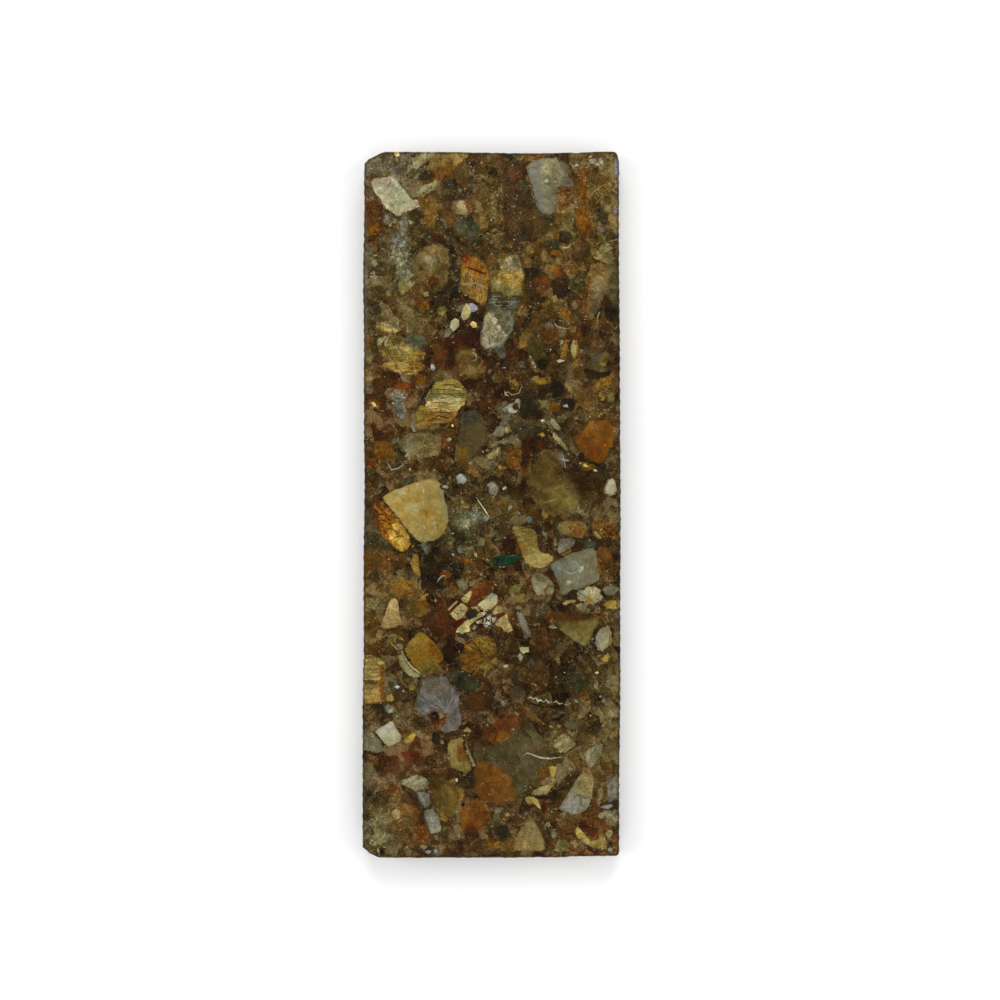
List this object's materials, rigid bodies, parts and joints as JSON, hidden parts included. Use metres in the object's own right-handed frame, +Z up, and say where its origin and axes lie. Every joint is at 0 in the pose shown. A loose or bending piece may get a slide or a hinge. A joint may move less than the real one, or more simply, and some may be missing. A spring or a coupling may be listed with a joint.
{
  "type": "fossil coral slab",
  "caption": "Rough-sawn rectangular slab of brecciated fossil coral, a decorative stone blank with one broken corner, that lies flat on its back face.",
  "frame": {"origin": "middle of the footprint, on the surface that the slab rests on", "axes": "+Z up through the thickness, +Y along the length, +X across the width"},
  "size_m": [0.055, 0.1504, 0.01],
  "materials": {
    "fossil_coral": "sawn, damp-looking satin, mottled brown with cream and rust chips"
  },
  "bodies": {
    "root": {"coral_slab": "fossil_coral"}
  },
  "joints": []
}
